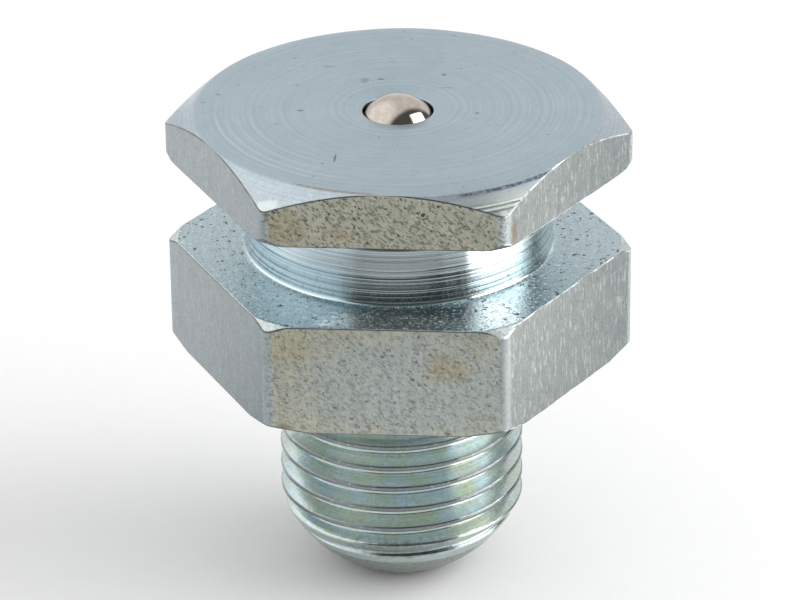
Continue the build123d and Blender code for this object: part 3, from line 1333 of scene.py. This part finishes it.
BODY_FINISHES = {
    Zone.FACE: MetalFinish(
        "head_face_turned", (163, 178, 186), (157, 173, 181), 0.34, 0.5,
        Lines(Lay.RINGS, 6.0, 0.003, 0.045, 0.5, 0.75), Mottle(0.8, 0.003), Grain(12.0, 0.03),
        (Spots(5.0, 0.56, (142, 156, 166), 0.001, 0.3, specks=True),
         Spots(3.0, 0.7, (142, 136, 138), 0.002)),
        marks=on_face(
            (-1.5, 2.5, 0.18, 0.26, (136, 128, 126), 0.6),
            (-0.85, 2.65, 0.16, 0.08, (90, 96, 104), 0.8),
            (-2.05, -4.8, 0.05, 0.34, (84, 90, 104), 0.85),
            (-3.77, -0.5, 0.16, 0.1, (100, 104, 108), 0.7),
            (1.6, 3.2, 0.12, 0.16, (96, 100, 108), 0.7),
            (1.8, 1.95, 0.3, 0.07, (146, 134, 130), 0.6),
            (3.1, -0.4, 0.1, 0.12, (112, 114, 120), 0.7),
            (-1.95, 0.85, 0.18, 0.05, (136, 128, 122), 0.6),
            (-3.0, 3.8, 0.28, 0.06, (118, 128, 140), 0.7),
            (-0.5, 4.4, 0.22, 0.06, (146, 130, 122), 0.55)),
        bands=(
            Band(7.84, 0.06, -14.0, 13.0, (150, 124, 108), 0.75, 0.5),
            Band(7.35, 0.05, 22.0, 22.0, (160, 140, 124), 0.45, 0.8),
            Band(7.1, 0.03, -48.0, 34.0, (194, 206, 212), 0.5, 0.3),
            Band(6.75, 0.04, -44.0, 36.0, (194, 206, 212), 0.5, 0.3),
            Band(6.3, 0.03, -50.0, 30.0, (194, 206, 212), 0.45, 0.3),
            Band(5.8, 0.03, -52.0, 26.0, (190, 202, 208), 0.4, 0.3))),
    Zone.CHAMFER: MetalFinish(
        "head_chamfer_turned", (172, 184, 190), (166, 172, 182), 0.34, 0.3,
        Lines(Lay.CONE, 7.0, 0.002, 0.05, 0.4), Mottle(2.6, 0.005), Grain(9.0, 0.08, 0.003),
        # painted highlights at the chamfer's front corners, a painted lighter patch at its
        # front-right and painted shade at its left corner
        marks=(
            Mark((4.54, -7.76, 18.94), (0.2, 0.14, 0.12), (236, 240, 242), 0.9),
            Mark((-4.4, -7.7, 18.98), (0.6, 0.35, 0.25), (208, 218, 212), 0.7),
            Mark((-8.5, -1.0, 18.9), (1.0, 2.5, 0.6), (156, 172, 186), 0.7, True),
            Mark((4.9, -7.1, 19.1), (1.3, 1.0, 0.4), (200, 212, 206), 0.8, True)),
        # near the front-right corner the light bands are painted highlights and the dark bands
        # painted shade lines
        bands=(
            Band(8.09, 0.06, 36.0, 17.0, (84, 96, 114), 0.9, 0.6),
            Band(8.34, 0.14, 34.0, 18.0, (198, 206, 204), 0.6, 0.3),
            Band(8.6, 0.03, 30.0, 10.0, (240, 246, 240), 0.9, 0.1),
            Band(8.67, 0.02, 30.0, 9.0, (90, 96, 90), 0.8, 0.3),
            Band(8.75, 0.03, 30.0, 8.0, (240, 246, 240), 0.9, 0.1),
            Band(8.84, 0.03, 30.0, 6.0, (90, 96, 90), 0.8, 0.3))),
    Zone.FLAT: MetalFinish(
        "bar_flats_drawn", (146, 154, 155), (138, 145, 143), 0.36, 0.2,
        Lines(Lay.DRAWN, 5.0, 0.003, 0.05), Mottle(1.7, 0.003, 0.3), Grain(8.0, 0.1, 0.003),
        (Spots(9.0, 0.49, (98, 102, 94), 0.005, 0.72, specks=True),
         Spots(6.5, 0.625, (74, 76, 72), 0.01)),
        gain=0.5,
        # each side's colour is partly plating tone and partly painted light and shade: the front
        # flats painted lighter against the dim floor they reflect, the flats towards 60 degrees
        # darker against the bright floor they reflect
        tones_and_light=(SideToneAndLight(0.0, (180, 179, 160), 0.9, 1.0, 0.12, 0.6),
               SideToneAndLight(-60.0, (139, 150, 156), 0.95, 0.12, 0.1),
               SideToneAndLight(60.0, (115, 126, 127), 0.95, 0.35, 0.28)),
        corner_tint=(178, 190, 195), fleck_tint=(206, 214, 212),
        marks=(
            *on_front((0.9, 11.6, 4.9, 2.6, (166, 176, 176), 0.75),
                      (-1.5, 17.95, 0.6, 0.25, (160, 138, 102), 0.35),
                      (-3.9, 18.2, 1.2, 0.8, (154, 143, 110), 0.45),
                      (-3.9, 9.75, 0.4, 0.15, (118, 94, 70), 0.5),
                      (2.4, 12.4, 1.0, 0.7, (166, 150, 112), 0.5),
                      (-3.8, 13.1, 1.3, 0.6, (172, 163, 134), 0.45),
                      (-4.6, 10.9, 0.35, 0.3, (168, 146, 110), 0.45)),
            Mark((4.88, -7.42, 18.0), (0.16, 0.24, 0.55), (108, 98, 80), 0.8),
            # painted shade that dulls the reflection along the hexagon's front-right corner
            Mark((4.58, FRONT_Y, 11.8), (0.32, 0.5, 2.8), (150, 160, 160), 0.6))),
    Zone.NECK: MetalFinish(
        "neck_turned", (190, 204, 207), (178, 193, 197), 0.13, 0.5,
        # the darkest grooves of these tool marks are painted shade
        Lines(Lay.TURNS, 5.5, 0.018, 0.14, 0.5, 0.3, 0.75), Mottle(2.0, 0.001),
        # painted shade on the neck's front, painted highlights on its sides towards 62 and -46
        # degrees, and a painted dark line over the foot fillet's reflection
        bands=(
            Band(6.05, 0.5, 4.0, 28.0, (160, 172, 174), 0.5, under=True),
            Band(6.05, 0.5, 4.0, 18.0, (150, 160, 162), 0.7, under=True),
            Band(6.05, 0.5, 62.0, 30.0, (226, 238, 238), 0.75, under=True),
            Band(6.05, 0.5, -46.0, 34.0, (212, 230, 238), 0.7, under=True),
            Band(6.2, 0.07, 15.0, 110.0, (88, 120, 132), 0.8, 0.3))),
    Zone.SHOULDER: MetalFinish(
        "shoulder_turned", (168, 184, 190), (158, 175, 181), 0.26, 0.3,
        Lines(Lay.RINGS, 5.0, 0.004, 0.06), Mottle(4.0, 0.004), Grain(7.0, 0.08, 0.008),
        (Spots(7.0, 0.55, (236, 246, 246), 0.01, 0.8, 0.45, True),
         Spots(4.0, 0.63, (52, 62, 66), 0.02)),
        # painted light on the shoulder: its front painted near white, and a painted highlight at
        # its front-right
        marks=(Mark((0.2, -7.3, 14.05), (2.8, 0.9, 0.4), (250, 255, 255), 1.0, True),
               Mark((3.9, -6.5, 14.05), (1.3, 1.3, 0.4), (192, 191, 191), 0.8, True))),
    Zone.SEAT: MetalFinish(
        "seat_turned", (178, 186, 188), (162, 168, 166), 0.32, 0.5,
        Lines(Lay.RINGS, 5.0, 0.003, 0.08), Mottle(1.5, 0.002)),
    Zone.THREAD: MetalFinish(
        "thread_cut", (184, 200, 205), (186, 196, 180), 0.22, 0.5,
        Lines(Lay.HELIX, 9.0, 0.003, 0.08), Mottle(0.8, 0.001, 0.8), Grain(7.0, 0.08, 0.003),
        crest_tint=(124, 130, 131),
        # painted shade that dulls the bright rings at the front of the thread's run-out
        marks=(Mark((0.3, -4.5, 2.5), (2.8, 1.0, 0.5), (126, 134, 128), 0.85, True),)),
    Zone.NOSE: MetalFinish(
        "nose_turned", (155, 161, 158), (138, 144, 139), 0.34, 0.4,
        Lines(Lay.TURNS, 6.0, 0.004, 0.06), Mottle(3.5, 0.005), Grain(8.0, 0.22, 0.008),
        # painted shade that dulls the bright rings on the nose's front
        marks=(Mark((0.3, -4.3, 2.2), (2.2, 1.0, 0.45), (128, 134, 130), 0.8, True),)),
    Zone.BORE: MetalFinish(
        "bore_drilled", (130, 132, 130), (100, 100, 96), 0.35, 0.3,
        Lines(Lay.TURNS, 6.0, 0.003, 0.1), Mottle(2.0, 0.002)),
    Zone.EDGE: MetalFinish(
        "edge_worn_and_lit", (152, 157, 158), (108, 107, 106), 0.42, 0.0,
        Lines(Lay.CONE, 4.0, 0.002, 0.08), Mottle(1.4, 0.008, 0.95), Grain(10.0, 0.2, 0.01),
        # the edges' side colours are painted light and shade: dark at the front, grey at the left,
        # near white towards 60 degrees, plus a painted highlight at the shoulder's front-right
        # corner
        tones_and_light=(SideToneAndLight(0.0, (96, 100, 102), 0.75), SideToneAndLight(-60.0, (116, 118, 120), 0.75),
               SideToneAndLight(60.0, (236, 242, 240), 0.85)),
        marks=(Mark((4.55, -7.75, 13.9), (0.7, 0.5, 0.4), (238, 246, 244), 0.9),)),
    Zone.BEVEL: MetalFinish(
        "shoulder_bevel_turned", (200, 208, 206), (178, 186, 184), 0.42, 0.0,
        Lines(Lay.CONE, 6.0, 0.002, 0.08), Mottle(2.4, 0.006, 0.7), Grain(9.0, 0.14, 0.006),
        # the bevel's side towards 30 degrees is painted near white, a painted highlight
        tones_and_light=(SideToneAndLight(30.0, (246, 252, 252), 0.95),)),
}
# the beige of the ball's colours is a painted reflection of the room around it
BALL_FINISH = MetalFinish(
    "ball_lapped_painted_reflection", (188, 181, 173), (168, 156, 144), 0.1, 0.0,
    Lines(Lay.TURNS, 2.0, 0.0, 0.01), Mottle(3.0, 0.0006, 0.6))
SPRING_FINISH = MetalFinish(
    "spring_wire_drawn", (150, 150, 152), (120, 118, 116), 0.28, 0.0,
    Lines(Lay.RINGS, 12.0, 0.001, 0.1), Mottle(5.0, 0.001))


def main() -> None:
    """Builds the nipple's pieces, the studio and the camera."""
    logging.basicConfig(level=logging.INFO, format="%(name)s: %(message)s")
    scene = bpy.context.scene
    scene.view_settings.view_transform = "Standard"
    materials = [BODY_FINISHES[zone].material() for zone in Zone]
    pieces = [
        NippleBody().build(materials),
        CheckBall().build(BALL_FINISH.material()),
        ValveSpring().build(SPRING_FINISH.material()),
    ]
    LOG.info("pieces: %s", ", ".join(piece.name for piece in pieces))
    Studio().build()
    Viewpoint().build()


if __name__ == "__main__":
    main()
